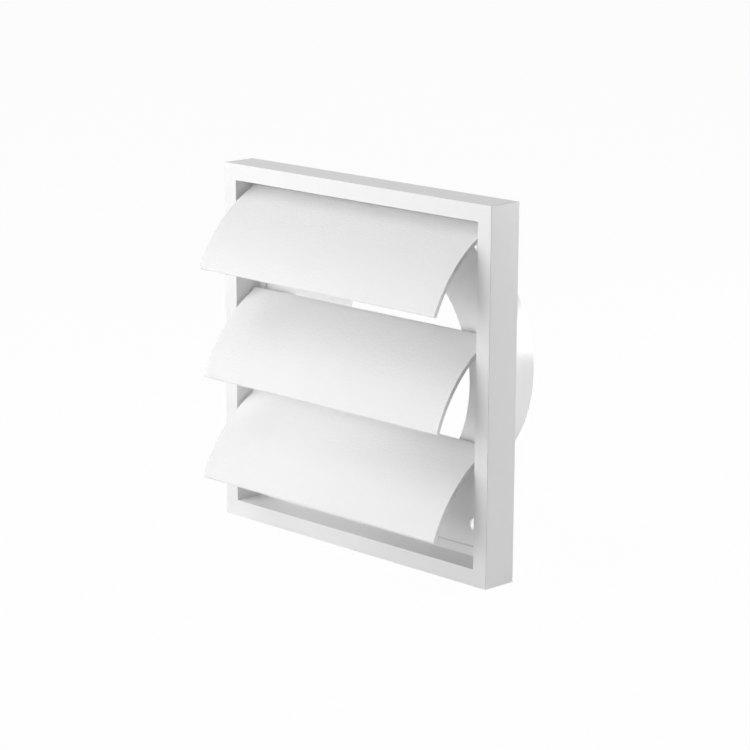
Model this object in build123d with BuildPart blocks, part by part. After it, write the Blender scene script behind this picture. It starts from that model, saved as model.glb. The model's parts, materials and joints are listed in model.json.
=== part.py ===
"""Louvered wall vent with three gravity flaps on a round duct spigot.

Millimetres. +Z is up, the front faces -Y and +X is to the right of someone looking at the front.
The origin lies on the spigot's axis, in the plane where the vent meets the wall.
"""
from build123d import *
from math import acos, atan2, cos, degrees, radians, sin
import os

# Front frame
face_size = 140.0  # overall width and height
frame_depth = 14.4
rim_width = 6.4  # front border between the outer edge and the opening
frame_wall = 1.6
flange_reach = 3.4  # how far the seat flange stands into the opening
flange_thickness = 1.0
outer_edge_radius = 0.7
opening_edge_radius = 0.35

# Back plate and duct spigot
plate_thickness = 1.4
plate_clearance = 0.1  # between the plate's edge and the frame round it
spigot_diameter = 100.0
spigot_wall = 1.8
spigot_length = 32.0  # behind the wall plane
mouth_radius = 0.5
lead_in = 0.3  # chamfer on the spigot's free end
screw_spacing = 104.0
screw_hole_diameter = 5.0

# Gravity flaps
flap_names = ("flap_top", "flap_middle", "flap_bottom")
flap_open_angles = (47.4, 43.4, 45.4)  # lower edge forward of a plumb line through the pivot
flap_thickness = 1.5
flap_curve_radius = 56.1  # outer face
flap_side_gap = 1.5  # between the blade's end and the frame's side wall
tip_radius = 0.6
tip_gap = 0.3  # between a plumb flap's lower edge and the next pivot's height
sill_gap = 1.4  # between the plumb bottom flap and the frame below it
root_radius = 2.1  # bead along the upper edge
root_end_play = 0.5  # between the bead's end and the frame's side wall
root_top_gap = 2.2  # between the top bead and the frame above it
root_seat_gap = 0.5  # between the beads and the seat flange behind them
pin_diameter = 2.9
pin_clearance = 0.05
pin_overrun = 0.6  # beyond the side wall, inside the hollow rim

# Derived sizes
opening_size = face_size - 2 * rim_width
seat_size = opening_size - 2 * flange_reach
hollow_outer = face_size - 2 * frame_wall
hollow_inner = opening_size + 2 * frame_wall
flange_front = plate_thickness + flange_thickness
plate_size = hollow_outer - 2 * plate_clearance
bore_diameter = spigot_diameter - 2 * spigot_wall
pivot_y = -(flange_front + root_seat_gap + root_radius)
top_pivot_height = opening_size / 2 - root_top_gap - root_radius
flap_pitch = (top_pivot_height + opening_size / 2 - sill_gap + tip_gap) / len(flap_names)
pivot_heights = [top_pivot_height - i * flap_pitch for i in range(len(flap_names))]
flap_reach = flap_pitch - tip_gap  # from the pivot to the lower edge
flap_width = opening_size - 2 * flap_side_gap

# Sketches on the wall plane extrude forwards, towards -Y
wall_plane = Plane.XZ


# Frame: a square ring, hollow from behind
with BuildPart() as front_frame:
    with BuildSketch(wall_plane):
        Rectangle(face_size, face_size)
    extrude(amount=frame_depth)
    fillet(front_frame.edges().filter_by(Axis.Y), outer_edge_radius)
    front_face = front_frame.faces().sort_by(Axis.Y)[0]
    fillet(front_face.edges(), outer_edge_radius)

    # Opening down to the seat flange, then through it
    with BuildSketch(wall_plane.offset(flange_front)):
        Rectangle(opening_size, opening_size)
    extrude(amount=frame_depth, mode=Mode.SUBTRACT)
    with BuildSketch(wall_plane):
        Rectangle(seat_size, seat_size)
    extrude(amount=frame_depth, mode=Mode.SUBTRACT)
    front_face = front_frame.faces().filter_by(Axis.Y).sort_by(Axis.Y)[0]
    fillet(front_face.inner_wires().edges(), opening_edge_radius)

    # Hollow rim, and the recess that takes the back plate
    with BuildSketch(wall_plane):
        Rectangle(hollow_outer, hollow_outer)
        Rectangle(hollow_inner, hollow_inner, mode=Mode.SUBTRACT)
    extrude(amount=frame_depth - frame_wall, mode=Mode.SUBTRACT)
    with BuildSketch(wall_plane):
        Rectangle(hollow_outer, hollow_outer)
    extrude(amount=plate_thickness, mode=Mode.SUBTRACT)

    # Pivot holes through both side walls
    with BuildSketch(Plane.YZ):
        with Locations(*[(pivot_y, height) for height in pivot_heights]):
            Circle(pin_diameter / 2 + pin_clearance)
    extrude(amount=hollow_inner / 2, both=True, mode=Mode.SUBTRACT)

# Back plate with its spigot
with BuildPart() as spigot_plate:
    with BuildSketch(wall_plane):
        Rectangle(plate_size, plate_size)
        with GridLocations(screw_spacing, screw_spacing, 2, 2):
            Circle(screw_hole_diameter / 2, mode=Mode.SUBTRACT)
    extrude(amount=plate_thickness)
    with BuildSketch(wall_plane):
        Circle(spigot_diameter / 2)
    extrude(amount=-spigot_length)
    free_end = spigot_plate.faces().sort_by(Axis.Y)[-1]
    chamfer(free_end.edges(), lead_in)
    with BuildSketch(wall_plane.offset(plate_thickness)):
        Circle(bore_diameter / 2)
    extrude(amount=-(plate_thickness + spigot_length), mode=Mode.SUBTRACT)
    front_face = spigot_plate.faces().sort_by(Axis.Y)[0]
    mouth = front_face.inner_wires().edges().sort_by(SortBy.RADIUS)[-1]
    fillet(mouth, mouth_radius)


def make_flap(pivot_height, open_angle):
    """One flap: a curved blade, its root bead and its two pins.

    The profile's local x runs from the pivot to the lower edge, and its local y to the hollow side.
    """
    lean = radians(open_angle)
    along = (0, -sin(lean), -cos(lean))

    def profile_plane(x):
        return Plane(origin=(x, pivot_y, pivot_height), x_dir=along, z_dir=(1, 0, 0))

    # The bead touches the blade's outer face from inside, which sets the curve's centre
    to_centre = flap_curve_radius - root_radius
    turn = acos((to_centre**2 + flap_reach**2 - flap_curve_radius**2) / (2 * to_centre * flap_reach))
    centre = (to_centre * cos(turn), to_centre * sin(turn))
    root_bearing = degrees(atan2(-centre[1], -centre[0]))
    tip_bearing = degrees(atan2(-centre[1], flap_reach - centre[0]))
    sweep = tip_bearing - root_bearing

    root_end = opening_size / 2 - root_end_play
    pin_end = hollow_inner / 2 + pin_overrun
    with BuildPart() as flap:
        with BuildSketch(profile_plane(-flap_width / 2)) as blade:
            with BuildLine():
                outer = CenterArc(centre, flap_curve_radius, root_bearing, sweep)
                inner = CenterArc(centre, flap_curve_radius - flap_thickness, root_bearing, sweep)
                Line(outer @ 0, inner @ 0)
                Line(outer @ 1, inner @ 1)
            make_face()
            fillet(blade.vertices().sort_by(Axis.X)[-2:], tip_radius)
        extrude(amount=flap_width)
        for radius, end in ((root_radius, root_end), (pin_diameter / 2, pin_end)):
            with BuildSketch(profile_plane(-end)):
                Circle(radius)
            extrude(amount=2 * end)
    return flap


os.makedirs("parts", exist_ok=True)
pieces = {"front_frame": front_frame, "spigot_plate": spigot_plate}
for name, height, angle in zip(flap_names, pivot_heights, flap_open_angles):
    pieces[name] = make_flap(height, angle)
for name, piece in pieces.items():
    piece.part.label = name
    export_step(piece.part, f"parts/{name}.step")
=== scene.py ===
"""Dresses a louvered wall vent: frame, back plate with spigot, three gravity flaps, finishes and studio.

Metres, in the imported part's own frame: +Z is up, the front faces -Y and the wall plane is Y = 0.
"""
import json
from math import radians

import bmesh
import bpy
from bpy.props import FloatProperty, FloatVectorProperty, PointerProperty
from mathutils import Matrix, Vector


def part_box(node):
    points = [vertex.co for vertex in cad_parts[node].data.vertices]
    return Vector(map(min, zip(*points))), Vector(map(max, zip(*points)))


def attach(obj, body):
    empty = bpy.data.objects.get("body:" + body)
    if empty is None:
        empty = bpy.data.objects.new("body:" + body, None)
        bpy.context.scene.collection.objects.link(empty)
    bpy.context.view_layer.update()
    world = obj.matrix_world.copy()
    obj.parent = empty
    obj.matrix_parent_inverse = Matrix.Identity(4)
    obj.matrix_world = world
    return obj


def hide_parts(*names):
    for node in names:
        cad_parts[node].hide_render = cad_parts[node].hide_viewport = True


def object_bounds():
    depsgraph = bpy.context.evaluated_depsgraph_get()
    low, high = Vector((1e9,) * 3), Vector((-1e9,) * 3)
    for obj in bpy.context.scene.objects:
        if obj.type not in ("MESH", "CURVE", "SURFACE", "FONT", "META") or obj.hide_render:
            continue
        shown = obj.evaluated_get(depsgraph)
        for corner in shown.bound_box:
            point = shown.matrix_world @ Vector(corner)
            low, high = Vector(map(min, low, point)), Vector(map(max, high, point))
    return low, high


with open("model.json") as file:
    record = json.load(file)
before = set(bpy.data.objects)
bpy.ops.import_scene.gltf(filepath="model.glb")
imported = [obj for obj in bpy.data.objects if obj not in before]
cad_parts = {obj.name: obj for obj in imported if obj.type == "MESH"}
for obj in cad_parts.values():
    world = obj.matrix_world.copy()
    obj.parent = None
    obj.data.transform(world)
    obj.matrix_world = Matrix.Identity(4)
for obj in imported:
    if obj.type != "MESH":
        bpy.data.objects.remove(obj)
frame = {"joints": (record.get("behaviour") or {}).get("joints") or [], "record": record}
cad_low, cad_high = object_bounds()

bl_info = {
    "name": "Louvered wall vent",
    "version": (1, 0, 0),
    "blender": (4, 5, 0),
    "location": "View3D > Sidebar > Vent",
    "description": "Builds a louvered wall vent with three gravity flaps, and a studio to look at it in",
    "category": "Object",
}

MM = 0.001
SMOOTH_BELOW = radians(40)  # faces that meet at less than this shade as one
TOUCHING = 0.01 * MM  # places closer than this are the same
WELD_DISTANCE = 0.001 * MM
BEAD_INSET = 0.02 * MM  # keeps the bead's rod off the blade's own rounding
CLEAR_OF_BEAD = 1.3  # times the bead's radius

# How finely curves are cut
EDGE_STEPS = 3
PIVOT_HOLE_SIDES = 40
SCREW_HOLE_SIDES = 48
SPIGOT_SIDES = 160
BLADE_POINTS = 64
LOWER_EDGE_POINTS = 11
BEAD_POINTS = 48

# Inputs of the flap's node group, each named for a size of the flaps
FLAP_LENGTHS = (
    "Width",
    "Reach",
    "Thickness",
    "Curve Radius",
    "Root Radius",
    "Root Length",
    "Pin Diameter",
    "Pin Length",
)

frame_low, frame_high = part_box("front_frame")
plate_low, plate_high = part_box("spigot_plate")
flap_low, flap_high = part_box("flap_top")


def length(name, description, default):
    """A length, in metres."""
    return FloatProperty(
        name=name,
        description=description,
        default=default,
        min=0,
        precision=5,
        subtype="DISTANCE",
        unit="LENGTH",
    )


def angle(name, description, degrees):
    """An angle, given in degrees."""
    return FloatProperty(
        name=name, description=description, default=radians(degrees), subtype="ANGLE", unit="ROTATION"
    )


def share(name, description, default):
    """A number from 0 to 1."""
    return FloatProperty(name=name, description=description, default=default, min=0, max=1, subtype="FACTOR")


def power(name, description, watts):
    """A lamp's power, in watts."""
    return FloatProperty(name=name, description=description, default=watts, min=0, unit="POWER")


def colour(name, description, grey):
    """A colour, given as one grey level."""
    return FloatVectorProperty(
        name=name, description=description, default=(grey, grey, grey), min=0, max=1, size=3, subtype="COLOR"
    )


class FrameSizes(bpy.types.PropertyGroup):
    """Sizes of the front frame."""

    face_size: length("Face size", "Overall width and height", frame_high.x - frame_low.x)
    depth: length("Depth", "From the wall plane to the front", -frame_low.y)
    rim_width: length("Rim width", "Front border round the opening", 6.4 * MM)
    wall: length("Wall", "Wall thickness of the hollow rim", 1.6 * MM)
    flange_reach: length("Flange reach", "How far the seat flange stands into the opening", 3.4 * MM)
    flange_thickness: length("Flange thickness", "Thickness of the seat flange", 1.0 * MM)
    pivot_hole: length("Pivot hole", "Diameter of the holes for the flaps' pins", 3.0 * MM)
    outer_edge: length("Outer edge", "Radius along the outer edges", 0.7 * MM)
    opening_edge: length("Opening edge", "Radius round the opening", 0.35 * MM)
    fine_edge: length("Fine edge", "Radius on every other edge", 0.15 * MM)


class PlateSizes(bpy.types.PropertyGroup):
    """Sizes of the back plate and its spigot."""

    plate_size: length("Plate size", "Width and height of the plate", plate_high.x - plate_low.x)
    thickness: length("Thickness", "Thickness of the plate", -plate_low.y)
    spigot_length: length("Spigot length", "From the wall plane to the free end", plate_high.y)
    spigot_diameter: length("Spigot diameter", "Outside diameter of the spigot", 100.0 * MM)
    spigot_wall: length("Spigot wall", "Wall thickness of the spigot", 1.8 * MM)
    lead_in: length("Lead-in", "Chamfer on the spigot's free end", 0.3 * MM)
    mouth_edge: length("Mouth edge", "Radius round the spigot's mouth", 0.5 * MM)
    screw_spacing: length("Screw spacing", "Between screw holes, both ways", 104.0 * MM)
    screw_hole: length("Screw hole", "Diameter of the screw holes", 5.0 * MM)
    fine_edge: length("Fine edge", "Radius on every other edge", 0.15 * MM)


class FlapSizes(bpy.types.PropertyGroup):
    """Sizes that the three flaps share."""

    width: length("Width", "Length of the blade, side to side", 124.2 * MM)
    reach: length("Reach", "From the pivot to the lower edge", 40.3 * MM)
    thickness: length("Thickness", "Thickness of the blade", 1.5 * MM)
    curve_radius: length("Curve radius", "Radius of the blade's outer face", 56.1 * MM)
    root_radius: length("Root radius", "Radius of the bead along the upper edge", 2.1 * MM)
    root_length: length("Root length", "Length of the bead", 126.2 * MM)
    pin_diameter: length("Pin diameter", "Diameter of the pivot pins", 2.9 * MM)
    pin_length: length("Pin length", "Over both pins", flap_high.x - flap_low.x)
    end_edge: length("End edge", "Radius along the blade's ends", 0.2 * MM)
    closed_angle: angle("Closed angle", "Between a plumb line and a flap that is shut", 9.0)


class Finishes(bpy.types.PropertyGroup):
    """Colours and surfaces of the mouldings."""

    frame_colour: colour("Frame colour", "Colour of the front frame", 0.83)
    plate_colour: colour("Plate colour", "Colour of the back plate and spigot", 0.87)
    flap_colour: colour("Flap colour", "Colour of the flaps", 0.88)
    frame_roughness: share("Frame roughness", "Roughness of the glossy frame", 0.25)
    plate_roughness: share("Plate roughness", "Roughness of the back plate", 0.22)
    flap_roughness: share("Flap roughness", "Roughness of the grained flaps", 0.5)
    moulding_gloss: share("Moulding gloss", "Specular level of the frame and back plate", 0.5)
    flap_gloss: share("Flap gloss", "Specular level of the flaps", 0.2)
    grain_size: length("Grain size", "Size of the grain on the flaps", 0.8 * MM)
    grain_depth: length("Grain depth", "Depth of the grain on the flaps", 0.15 * MM)
    ripple_size: length("Ripple size", "Size of the ripple on the frame and back plate", 1.6 * MM)
    ripple_depth: length("Ripple depth", "Depth of the ripple on the frame and back plate", 0.03 * MM)
    tone_drift: share("Tone drift", "Slow changes of tone", 0.03)
    gloss_drift: share("Gloss drift", "Slow changes of roughness", 0.08)


class Studio(bpy.types.PropertyGroup):
    """Camera, lamps and floor."""

    azimuth: angle("Azimuth", "Camera's turn towards +X from the front", 45.242)
    elevation: angle("Elevation", "Camera's height above the horizon", 13.089)
    roll: angle("Roll", "Camera's turn about its own axis", 0.354)
    distance: length("Distance", "From the camera to the part", 1013.5 * MM)
    right_offset: FloatProperty(
        name="Right offset", description="Origin's place in the picture", default=1.22 * MM, unit="LENGTH"
    )
    up_offset: FloatProperty(
        name="Up offset", description="Origin's place in the picture", default=4.44 * MM, unit="LENGTH"
    )
    lens_ratio: FloatProperty(
        name="Lens ratio", description="Focal length over the picture's width", default=2696.1 / 750
    )
    ambient: share("Ambient", "Light from all round", 0.05)
    lamp_distance: length("Lamp distance", "From each lamp to the part", 800 * MM)
    key_power: power("Key lamp", "Large lamp in front, to the left", 4.0)
    front_power: power("Front lamp", "Lamp in front", 2.2)
    top_power: power("Top lamp", "Lamp high on the left", 1.8)
    rear_power: power("Rear lamp", "Lamp behind, to the right", 6.1)
    floor_colour: colour("Floor colour", "Colour of the floor", 0.9)
    floor_glow: share("Floor glow", "How white the floor looks, over its shadow", 0.97)
    floor_roughness: share("Floor roughness", "Roughness of the floor", 0.9)
    floor_reach: length("Floor reach", "From the middle of the floor to its edge", 8.0)
    floor_gap: length("Floor gap", "Between the floor and the part", 0.2 * MM)


class VentSettings(bpy.types.PropertyGroup):
    """Everything that the panel shows."""

    front: PointerProperty(type=FrameSizes)
    plate: PointerProperty(type=PlateSizes)
    flaps: PointerProperty(type=FlapSizes)
    finish: PointerProperty(type=Finishes)
    studio: PointerProperty(type=Studio)


# Nodes


def feed(tree, socket, value):
    """Links a socket to another, or sets its value."""
    if isinstance(value, bpy.types.NodeSocket):
        tree.links.new(value, socket)
    else:
        socket.default_value = value


def add_node(tree, kind, inputs=None, **settings):
    """Adds a node with its settings and the inputs given by name or number."""
    node = tree.nodes.new(kind)
    for name, value in settings.items():
        setattr(node, name, value)
    for name, value in (inputs or {}).items():
        feed(tree, node.inputs[name], value)
    return node


def calc(tree, operation, *values):
    """A Math node's result."""
    inputs = dict(enumerate(values))
    return add_node(tree, "ShaderNodeMath", inputs, operation=operation).outputs[0]


def times(tree, vector, factor):
    """A vector or colour, times a number."""
    return add_node(tree, "ShaderNodeVectorMath", {0: vector, "Scale": factor}, operation="SCALE").outputs[0]


def noise(tree, place, scale, detail):
    """Smooth noise about 0.5."""
    inputs = {"Vector": place, "Scale": scale, "Detail": detail}
    return add_node(tree, "ShaderNodeTexNoise", inputs).outputs["Fac"]


def new_group(name, kind, inputs, outputs):
    """A node group with its sockets, and its input and output nodes."""
    tree = bpy.data.node_groups.new(name, kind)
    for label, socket_type in inputs:
        tree.interface.new_socket(label, in_out="INPUT", socket_type=socket_type)
    for label, socket_type in outputs:
        tree.interface.new_socket(label, in_out="OUTPUT", socket_type=socket_type)
    return tree, tree.nodes.new("NodeGroupInput").outputs, tree.nodes.new("NodeGroupOutput").inputs


# Finishes


def grain_group():
    """Fine moulded grain, as a height from 0 to 1."""
    tree, given, result = new_group(
        "Moulded grain",
        "ShaderNodeTree",
        [("Position", "NodeSocketVector"), ("Size", "NodeSocketFloat")],
        [("Height", "NodeSocketFloat")],
    )
    place = times(tree, given["Position"], calc(tree, "DIVIDE", 1.0, given["Size"]))
    fine = noise(tree, place, scale=1.0, detail=2.0)
    broad = noise(tree, place, scale=0.3, detail=1.0)
    both = add_node(tree, "ShaderNodeMix", {"Factor": 0.3, "A": fine, "B": broad}, data_type="FLOAT")
    feed(tree, result["Height"], both.outputs["Result"])
    return tree


def drift_group():
    """Slow changes of tone and gloss, as moulded plastic has."""
    tree, given, result = new_group(
        "Tone drift",
        "ShaderNodeTree",
        [
            ("Position", "NodeSocketVector"),
            ("Colour", "NodeSocketColor"),
            ("Roughness", "NodeSocketFloat"),
            ("Tone", "NodeSocketFloat"),
            ("Gloss", "NodeSocketFloat"),
        ],
        [("Colour", "NodeSocketColor"), ("Roughness", "NodeSocketFloat")],
    )
    patches = noise(tree, given["Position"], scale=38.0, detail=3.0)
    centred = calc(tree, "SUBTRACT", patches, 0.5)
    tone = calc(tree, "MULTIPLY_ADD", centred, given["Tone"], 1.0)
    roughness = calc(tree, "MULTIPLY_ADD", centred, given["Gloss"], given["Roughness"])
    feed(tree, result["Colour"], times(tree, given["Colour"], tone))
    feed(tree, result["Roughness"], roughness)
    return tree


def plastic(name, base, roughness, gloss, grain, depth):
    """White moulded plastic with its grain and drift."""
    finish = bpy.context.scene.vent.finish
    material = bpy.data.materials.new(name)
    material.use_nodes = True
    tree = material.node_tree
    tree.nodes.clear()
    place = add_node(tree, "ShaderNodeTexCoord").outputs["Object"]
    drift = add_node(
        tree,
        "ShaderNodeGroup",
        {
            "Position": place,
            "Colour": (*base, 1),
            "Roughness": roughness,
            "Tone": finish.tone_drift,
            "Gloss": finish.gloss_drift,
        },
        node_tree=bpy.data.node_groups.get("Tone drift") or drift_group(),
    )
    texture = add_node(
        tree,
        "ShaderNodeGroup",
        {"Position": place, "Size": grain},
        node_tree=bpy.data.node_groups.get("Moulded grain") or grain_group(),
    )
    bump = add_node(
        tree, "ShaderNodeBump", {"Strength": 1.0, "Distance": depth, "Height": texture.outputs["Height"]}
    )
    shader = add_node(
        tree,
        "ShaderNodeBsdfPrincipled",
        {
            "Base Color": drift.outputs["Colour"],
            "Roughness": drift.outputs["Roughness"],
            "Normal": bump.outputs["Normal"],
            "IOR": 1.5,
            "Specular IOR Level": gloss,
        },
    )
    add_node(tree, "ShaderNodeOutputMaterial", {"Surface": shader.outputs[0]})
    return material


# Meshes


def new_piece(name, work, material=None):
    """An object at the origin with the bmesh's faces, which it frees."""
    bmesh.ops.recalc_face_normals(work, faces=work.faces)
    mesh = bpy.data.meshes.new(name)
    work.to_mesh(mesh)
    work.free()
    if material:
        mesh.materials.append(material)
    piece = bpy.data.objects.new(name, mesh)
    bpy.context.scene.collection.objects.link(piece)
    return piece


def settle(piece):
    """Turns a piece and its modifiers into one plain mesh."""
    graph = bpy.context.evaluated_depsgraph_get()
    mesh = bpy.data.meshes.new_from_object(
        piece.evaluated_get(graph), preserve_all_data_layers=True, depsgraph=graph
    )
    piece.modifiers.clear()
    piece.data = mesh
    mesh.name = piece.name


def combine(piece, work, operation):
    """Adds a bmesh's solids to a piece, or cuts them out of it."""
    tool = new_piece(f"{piece.name}_tool", work)
    boolean = piece.modifiers.new("Combine", "BOOLEAN")
    boolean.operation = operation
    boolean.solver = "EXACT"
    boolean.object = tool
    settle(piece)
    bpy.data.objects.remove(tool)


def add_rod(work, radius, start, end, sides):
    """A closed cylinder between two points."""
    start, end = Vector(start), Vector(end)
    turn = (end - start).to_track_quat("Z", "Y").to_matrix().to_4x4()
    bmesh.ops.create_cone(
        work,
        cap_ends=True,
        segments=sides,
        radius1=radius,
        radius2=radius,
        depth=(end - start).length,
        matrix=Matrix.Translation((start + end) / 2) @ turn,
    )


def smooth_flats(piece):
    """Smooth shading that leaves the flat faces flat."""
    mesh = piece.data
    mesh.shade_smooth()
    mesh.set_sharp_from_angle(angle=SMOOTH_BELOW)
    even = piece.modifiers.new("Flat faces", "WEIGHTED_NORMAL")
    even.keep_sharp = True
    settle(piece)


def round_edges(piece, widest, radius_of=None):
    """Rounds each outside edge by the radius that radius_of gives, or by the weights that the mesh has."""
    if radius_of:
        work = bmesh.new()
        work.from_mesh(piece.data)
        weight = work.edges.layers.float.new("bevel_weight_edge")
        for edge in work.edges:
            if edge.is_convex and edge.calc_face_angle(0) > SMOOTH_BELOW:
                edge[weight] = radius_of(*(v.co for v in edge.verts)) / widest
        work.to_mesh(piece.data)
        work.free()
    bevel = piece.modifiers.new("Rounded edges", "BEVEL")
    bevel.limit_method = "WEIGHT"
    bevel.width = widest
    bevel.segments = EDGE_STEPS
    settle(piece)
    smooth_flats(piece)


def near(value, target):
    """Whether two measures are the same."""
    return abs(value - target) < TOUCHING


def joint_pivots():
    """Each flap's pivot, with the angle that it hangs open by at rest, from the joints."""
    closed = bpy.context.scene.vent.flaps.closed_angle
    return {
        joint["child"]: (Vector(joint["pos_m"]), closed - radians(joint["range_deg"][0]))
        for joint in frame["joints"]
    }


def seat(piece, body, node):
    """Sets a finished piece on its body, in its node's place."""
    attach(piece, body)
    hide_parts(node)


class VENT_OT_front_frame(bpy.types.Operator):
    """Build the hollow front frame with its seat flange and pivot holes"""

    bl_idname = "vent.front_frame"
    bl_label = "Front frame"

    def execute(self, context):
        size = context.scene.vent.front
        finish = context.scene.vent.finish
        outer = size.face_size / 2
        opening = outer - size.rim_width
        front = -size.depth
        plate_front = plate_low.y
        flange_front = plate_front - size.flange_thickness
        section = [
            (outer, 0),
            (outer, front),
            (opening, front),
            (opening, flange_front),
            (opening - size.flange_reach, flange_front),
            (opening - size.flange_reach, plate_front),
            (opening + size.wall, plate_front),
            (opening + size.wall, front + size.wall),
            (outer - size.wall, front + size.wall),
            (outer - size.wall, 0),
        ]
        work = bmesh.new()
        corners = ((1, 1), (-1, 1), (-1, -1), (1, -1))
        loops = [[work.verts.new((x * half, y, z * half)) for half, y in section] for x, z in corners]
        for loop, following in zip(loops, loops[1:] + loops[:1]):
            for i in range(len(section)):
                work.faces.new((loop[i], loop[i - 1], following[i - 1], following[i]))
        material = plastic(
            "frame_plastic",
            finish.frame_colour,
            finish.frame_roughness,
            finish.moulding_gloss,
            finish.ripple_size,
            finish.ripple_depth,
        )
        piece = new_piece("frame_moulding", work, material)

        holes = bmesh.new()
        hole_end = (opening + outer) / 2
        for pivot, _ in joint_pivots().values():
            ends = (-hole_end, *pivot.yz), (hole_end, *pivot.yz)
            add_rod(holes, size.pivot_hole / 2, *ends, PIVOT_HOLE_SIDES)
        combine(piece, holes, "DIFFERENCE")

        def edge_radius(a, b):
            at_front = near(a.y, front) and near(b.y, front)
            along_depth = near(a.x, b.x) and near(a.z, b.z)
            half = max(abs(a.x), abs(a.z))
            if near(half, outer) and (at_front or along_depth):
                return size.outer_edge
            if near(half, opening) and at_front:
                return size.opening_edge
            return size.fine_edge

        round_edges(piece, size.outer_edge, edge_radius)
        seat(piece, "housing", "front_frame")
        return {"FINISHED"}


class VENT_OT_back_plate(bpy.types.Operator):
    """Build the back plate with its screw holes and duct spigot"""

    bl_idname = "vent.back_plate"
    bl_label = "Back plate and spigot"

    def execute(self, context):
        size = context.scene.vent.plate
        finish = context.scene.vent.finish
        front = -size.thickness
        work = bmesh.new()
        extent = Matrix.Diagonal((size.plate_size, size.thickness, size.plate_size, 1))
        bmesh.ops.create_cube(work, size=1, matrix=Matrix.Translation((0, front / 2, 0)) @ extent)
        material = plastic(
            "plate_plastic",
            finish.plate_colour,
            finish.plate_roughness,
            finish.moulding_gloss,
            finish.ripple_size,
            finish.ripple_depth,
        )
        piece = new_piece("plate_with_spigot", work, material)

        radius = size.spigot_diameter / 2
        end = size.spigot_length
        spigot = bmesh.new()
        outline = [(radius, front / 2), (radius, end - size.lead_in), (radius - size.lead_in, end)]
        rims = []
        for r, y in outline:
            turn = Matrix.Translation((0, y, 0)) @ Matrix.Rotation(radians(90), 4, "X")
            circle = bmesh.ops.create_circle(spigot, segments=SPIGOT_SIDES, radius=r, matrix=turn)
            rims.append(circle["verts"])
        for rim, following in zip(rims, rims[1:]):
            for i in range(len(rim)):
                spigot.faces.new((rim[i], rim[i - 1], following[i - 1], following[i]))
        spigot.faces.new(rims[0])
        spigot.faces.new(rims[-1])
        combine(piece, spigot, "UNION")

        holes = bmesh.new()
        bore = radius - size.spigot_wall
        add_rod(holes, bore, (0, 2 * front, 0), (0, end - front, 0), SPIGOT_SIDES)
        place = size.screw_spacing / 2
        for x in (-place, place):
            for z in (-place, place):
                ends = (x, 2 * front, z), (x, -front, z)
                add_rod(holes, size.screw_hole / 2, *ends, SCREW_HOLE_SIDES)
        combine(piece, holes, "DIFFERENCE")

        def edge_radius(a, b):
            at_mouth = near(a.y, front) and near(b.y, front) and near(a.xz.length, bore)
            return size.mouth_edge if at_mouth else size.fine_edge

        round_edges(piece, size.mouth_edge, edge_radius)
        seat(piece, "housing", "spigot_plate")
        return {"FINISHED"}


def arc_points(tree, radius, start, sweep, points, centre=None):
    """An arc's line of edges, about a centre."""
    arc = add_node(
        tree,
        "GeometryNodeCurveArc",
        {"Resolution": points, "Radius": radius, "Start Angle": start, "Sweep Angle": sweep},
        mode="RADIUS",
    )
    edges = add_node(tree, "GeometryNodeCurveToMesh", {"Curve": arc.outputs["Curve"]}).outputs["Mesh"]
    if centre is None:
        return edges
    moved = add_node(tree, "GeometryNodeTransform", {"Geometry": edges, "Translation": centre})
    return moved.outputs["Geometry"]


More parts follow.
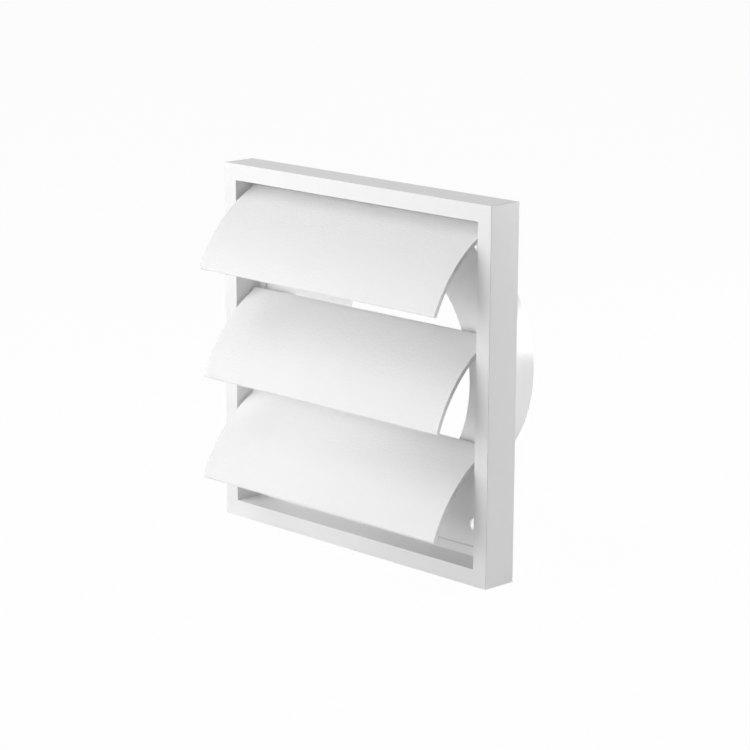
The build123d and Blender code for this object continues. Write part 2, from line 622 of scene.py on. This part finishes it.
def flap_tree():
    """The flap's rule: an arched blade with a round lower edge, hung from a bead with a pin at each end.

    The section lies in X and Y, with the pivot at the origin and X towards the lower edge.
    """
    tree, given, result = new_group(
        "Gravity flap",
        "GeometryNodeTree",
        [
            *((name, "NodeSocketFloat") for name in FLAP_LENGTHS),
            ("Open Angle", "NodeSocketFloat"),
            ("Pivot", "NodeSocketVector"),
            ("Material", "NodeSocketMaterial"),
        ],
        [("Flap", "NodeSocketGeometry")],
    )

    def reckon(operation, *values):
        return calc(tree, operation, *values)

    def square(value):
        return reckon("MULTIPLY", value, value)

    def opposite_angle(a, b, opposite):
        """The angle between sides a and b of a triangle."""
        over = reckon("SUBTRACT", reckon("ADD", square(a), square(b)), square(opposite))
        under = reckon("MULTIPLY", reckon("MULTIPLY", a, b), 2.0)
        return reckon("ARCCOSINE", reckon("DIVIDE", over, under))

    def polar(radius, bearing):
        return add_node(
            tree,
            "ShaderNodeCombineXYZ",
            {
                "X": reckon("MULTIPLY", radius, reckon("COSINE", bearing)),
                "Y": reckon("MULTIPLY", radius, reckon("SINE", bearing)),
            },
        ).outputs[0]

    def add_vectors(a, b):
        return add_node(tree, "ShaderNodeVectorMath", {0: a, 1: b}, operation="ADD").outputs[0]

    def weld(geometry):
        inputs = {"Geometry": geometry, "Distance": WELD_DISTANCE}
        return add_node(tree, "GeometryNodeMergeByDistance", inputs).outputs[0]

    outer = given["Curve Radius"]
    inner = reckon("SUBTRACT", outer, given["Thickness"])
    root = given["Root Radius"]
    to_centre = reckon("SUBTRACT", outer, root)
    turn = opposite_angle(to_centre, given["Reach"], outer)
    centre = polar(to_centre, turn)
    root_bearing = reckon("SUBTRACT", turn, radians(180))
    edge_round = reckon("DIVIDE", given["Thickness"], 2.0)
    middle = reckon("SUBTRACT", outer, edge_round)
    whole_sweep = opposite_angle(to_centre, outer, given["Reach"])
    sweep = reckon("SUBTRACT", whole_sweep, reckon("DIVIDE", edge_round, middle))
    end_bearing = reckon("ADD", root_bearing, sweep)

    # Where the hollow side runs into the bead
    bite = opposite_angle(inner, to_centre, root)
    meeting = add_vectors(centre, polar(inner, reckon("ADD", root_bearing, bite)))
    parts = add_node(tree, "ShaderNodeSeparateXYZ", {0: meeting}).outputs
    meeting_bearing = reckon("ARCTAN2", parts["Y"], parts["X"])
    round_bead = reckon("SUBTRACT", reckon("ADD", root_bearing, radians(360)), meeting_bearing)

    outline = add_node(tree, "GeometryNodeJoinGeometry")
    lower_edge = add_vectors(centre, polar(middle, end_bearing))
    for edges in (
        arc_points(tree, outer, root_bearing, sweep, BLADE_POINTS, centre),
        arc_points(tree, edge_round, end_bearing, radians(180), LOWER_EDGE_POINTS, lower_edge),
        arc_points(tree, inner, end_bearing, reckon("SUBTRACT", bite, sweep), BLADE_POINTS, centre),
        arc_points(tree, root, meeting_bearing, round_bead, BEAD_POINTS),
    ):
        tree.links.new(edges, outline.inputs[0])
    loop = add_node(tree, "GeometryNodeMeshToCurve", {"Mesh": weld(outline.outputs[0])})
    face = add_node(tree, "GeometryNodeFillCurve", {"Curve": loop.outputs[0]}, mode="NGONS").outputs[0]
    pulled = add_node(
        tree,
        "GeometryNodeExtrudeMesh",
        {"Mesh": face, "Offset": (0, 0, 1), "Offset Scale": given["Width"], "Individual": False},
        mode="FACES",
    )
    back = add_node(tree, "GeometryNodeFlipFaces", {"Mesh": face})
    shells = add_node(tree, "GeometryNodeJoinGeometry")
    tree.links.new(pulled.outputs["Mesh"], shells.inputs[0])
    tree.links.new(back.outputs[0], shells.inputs[0])
    low_end = reckon("MULTIPLY", given["Width"], -0.5)
    to_middle = add_node(tree, "ShaderNodeCombineXYZ", {"Z": low_end})
    blade = add_node(
        tree,
        "GeometryNodeTransform",
        {"Geometry": weld(shells.outputs[0]), "Translation": to_middle.outputs[0]},
    )

    # The bead's ends and the pins stand out past the blade
    solid = add_node(tree, "GeometryNodeMeshBoolean", operation="UNION", solver="EXACT")
    tree.links.new(blade.outputs[0], solid.inputs["Mesh 2"])
    for radius, extent in (
        (reckon("SUBTRACT", root, BEAD_INSET), given["Root Length"]),
        (reckon("DIVIDE", given["Pin Diameter"], 2.0), given["Pin Length"]),
    ):
        rod = add_node(
            tree,
            "GeometryNodeMeshCylinder",
            {"Vertices": BEAD_POINTS, "Radius": radius, "Depth": extent},
            fill_type="NGON",
        )
        tree.links.new(rod.outputs["Mesh"], solid.inputs["Mesh 2"])

    # The blade's end edges are marked for rounding
    position = add_node(tree, "GeometryNodeInputPosition").outputs[0]
    place = add_node(tree, "ShaderNodeSeparateXYZ", {0: position}).outputs
    from_end = reckon("ADD", reckon("ABSOLUTE", place["Z"]), low_end)
    at_end = reckon("LESS_THAN", reckon("ABSOLUTE", from_end), WELD_DISTANCE)
    off_axis = reckon("SQRT", reckon("ADD", square(place["X"]), square(place["Y"])))
    off_bead = reckon("GREATER_THAN", off_axis, reckon("MULTIPLY", root, CLEAR_OF_BEAD))
    corner = add_node(tree, "GeometryNodeInputMeshEdgeAngle").outputs["Unsigned Angle"]
    is_corner = reckon("GREATER_THAN", corner, SMOOTH_BELOW)
    marked = add_node(
        tree,
        "GeometryNodeStoreNamedAttribute",
        {
            "Geometry": solid.outputs["Mesh"],
            "Name": "bevel_weight_edge",
            "Value": reckon("MULTIPLY", reckon("MULTIPLY", at_end, off_bead), is_corner),
        },
        data_type="FLOAT",
        domain="EDGE",
    )

    # Hung across the opening, then swung open
    across = add_node(
        tree, "GeometryNodeTransform", {"Geometry": marked.outputs[0], "Rotation": (0, radians(90), 0)}
    )
    lean = add_node(tree, "ShaderNodeCombineXYZ", {"X": reckon("MULTIPLY", given["Open Angle"], -1.0)})
    hung = add_node(
        tree,
        "GeometryNodeTransform",
        {"Geometry": across.outputs[0], "Rotation": lean.outputs[0], "Translation": given["Pivot"]},
    )
    real = add_node(tree, "GeometryNodeRealizeInstances", {"Geometry": hung.outputs[0]})
    dressed = add_node(
        tree, "GeometryNodeSetMaterial", {"Geometry": real.outputs[0], "Material": given["Material"]}
    )
    feed(tree, result["Flap"], dressed.outputs[0])
    return tree


class VENT_OT_flaps(bpy.types.Operator):
    """Build the three gravity flaps, each hung open on its pins"""

    bl_idname = "vent.flaps"
    bl_label = "Flaps"

    def execute(self, context):
        size = context.scene.vent.flaps
        finish = context.scene.vent.finish
        tree = flap_tree()
        material = plastic(
            "flap_plastic",
            finish.flap_colour,
            finish.flap_roughness,
            finish.flap_gloss,
            finish.grain_size,
            finish.grain_depth,
        )
        nodes = frame["record"]["behaviour"]["bodies"]
        for body, (pivot, lean) in joint_pivots().items():
            values = {name: getattr(size, name.lower().replace(" ", "_")) for name in FLAP_LENGTHS}
            values |= {"Open Angle": lean, "Pivot": (0, *pivot.yz), "Material": material}
            piece = new_piece(f"{body}_leaf", bmesh.new())
            shape = piece.modifiers.new("Gravity flap", "NODES")
            shape.node_group = tree
            for item in tree.interface.items_tree:
                if item.in_out == "INPUT":
                    shape[item.identifier] = values[item.name]
            settle(piece)
            round_edges(piece, size.end_edge)
            seat(piece, body, nodes[body][0])
        return {"FINISHED"}


class VENT_OT_studio(bpy.types.Operator):
    """Set up the floor, the lamps, the surroundings and the camera"""

    bl_idname = "vent.studio"
    bl_label = "Studio"

    def execute(self, context):
        scene = context.scene
        studio = scene.vent.studio
        scene.view_settings.view_transform = "Standard"
        self.add_floor(studio)
        self.add_surroundings(scene, studio)
        self.add_lamps(scene, studio)
        self.add_camera(scene, studio)
        return {"FINISHED"}

    def facing(self, azimuth, elevation):
        """The turn of a lamp or camera that looks at the origin, with azimuth counted from the front."""
        return Matrix.Rotation(azimuth, 3, "Z") @ Matrix.Rotation(radians(90) - elevation, 3, "X")

    def seen_directly(self, tree):
        """1 for the camera's rays, and for those mirrored or sent through by a surface."""
        path = add_node(tree, "ShaderNodeLightPath").outputs
        seen = calc(tree, "MAXIMUM", path["Is Camera Ray"], path["Is Glossy Ray"])
        return calc(tree, "MAXIMUM", seen, path["Is Transmission Ray"])

    def add_floor(self, studio):
        material = bpy.data.materials.new("floor_paper")
        material.use_nodes = True
        tree = material.node_tree
        tree.nodes.clear()
        paper = add_node(
            tree,
            "ShaderNodeBsdfPrincipled",
            {"Base Color": (*studio.floor_colour, 1), "Roughness": studio.floor_roughness},
        )
        glow = add_node(tree, "ShaderNodeEmission", {"Color": (1, 1, 1, 1), "Strength": 1.0})
        factor = calc(tree, "MULTIPLY", self.seen_directly(tree), studio.floor_glow)
        both = add_node(tree, "ShaderNodeMixShader", {0: factor, 1: paper.outputs[0], 2: glow.outputs[0]})
        add_node(tree, "ShaderNodeOutputMaterial", {"Surface": both.outputs[0]})
        work = bmesh.new()
        level = Matrix.Translation((0, 0, cad_low.z - studio.floor_gap))
        bmesh.ops.create_grid(work, size=studio.floor_reach, matrix=level)
        new_piece("floor", work, material)

    def add_surroundings(self, scene, studio):
        world = bpy.data.worlds.new("surroundings")
        world.use_nodes = True
        tree = world.node_tree
        tree.nodes.clear()
        light = add_node(tree, "ShaderNodeBackground", {"Color": (1, 1, 1, 1), "Strength": studio.ambient})
        white = add_node(tree, "ShaderNodeBackground", {"Color": (1, 1, 1, 1), "Strength": 1.0})
        both = add_node(
            tree,
            "ShaderNodeMixShader",
            {0: self.seen_directly(tree), 1: light.outputs[0], 2: white.outputs[0]},
        )
        add_node(tree, "ShaderNodeOutputWorld", {"Surface": both.outputs[0]})
        scene.world = world

    def add_lamps(self, scene, studio):
        """Discs that face the part, placed by degrees and metres across."""
        for name, watts, azimuth, elevation, width in (
            ("key_lamp", studio.key_power, -38, 8, 0.9),
            ("front_lamp", studio.front_power, -5, 8, 0.6),
            ("top_lamp", studio.top_power, -40, 60, 0.6),
            ("rear_lamp", studio.rear_power, 150, 10, 0.5),
        ):
            light = bpy.data.lights.new(name, "AREA")
            light.energy = watts
            light.shape = "DISK"
            light.size = width
            lamp = bpy.data.objects.new(name, light)
            turn = self.facing(radians(azimuth), radians(elevation))
            lamp.matrix_world = turn.to_4x4() @ Matrix.Translation((0, 0, studio.lamp_distance))
            scene.collection.objects.link(lamp)

    def add_camera(self, scene, studio):
        lens = bpy.data.cameras.new("camera")
        lens.sensor_width = 36.0
        lens.lens = studio.lens_ratio * lens.sensor_width
        lens.clip_start = 0.01
        lens.clip_end = 50.0
        turn = self.facing(studio.azimuth, studio.elevation) @ Matrix.Rotation(studio.roll, 3, "Z")
        camera = bpy.data.objects.new("camera", lens)
        offset = Vector((-studio.right_offset, -studio.up_offset, studio.distance))
        camera.matrix_world = turn.to_4x4() @ Matrix.Translation(offset)
        scene.collection.objects.link(camera)
        scene.camera = camera


class VENT_PT_panel(bpy.types.Panel):
    """The vent's pieces and their sizes"""

    bl_label = "Louvered vent"
    bl_idname = "VENT_PT_panel"
    bl_space_type = "VIEW_3D"
    bl_region_type = "UI"
    bl_category = "Vent"

    def draw(self, context):
        settings = context.scene.vent
        for operator, group in (
            (VENT_OT_front_frame, settings.front),
            (VENT_OT_back_plate, settings.plate),
            (VENT_OT_flaps, settings.flaps),
            (VENT_OT_studio, settings.studio),
        ):
            box = self.layout.box()
            box.operator(operator.bl_idname)
            for name in group.__annotations__:
                box.prop(group, name)
        box = self.layout.box()
        box.label(text="Finishes")
        for name in Finishes.__annotations__:
            box.prop(settings.finish, name)


CLASSES = (
    FrameSizes,
    PlateSizes,
    FlapSizes,
    Finishes,
    Studio,
    VentSettings,
    VENT_OT_front_frame,
    VENT_OT_back_plate,
    VENT_OT_flaps,
    VENT_OT_studio,
    VENT_PT_panel,
)


def register():
    for item in CLASSES:
        bpy.utils.register_class(item)
    bpy.types.Scene.vent = PointerProperty(type=VentSettings)


def unregister():
    del bpy.types.Scene.vent
    for item in reversed(CLASSES):
        bpy.utils.unregister_class(item)


def main():
    register()
    bpy.ops.vent.front_frame()
    bpy.ops.vent.back_plate()
    bpy.ops.vent.flaps()
    bpy.ops.vent.studio()


if __name__ == "__main__":
    main()
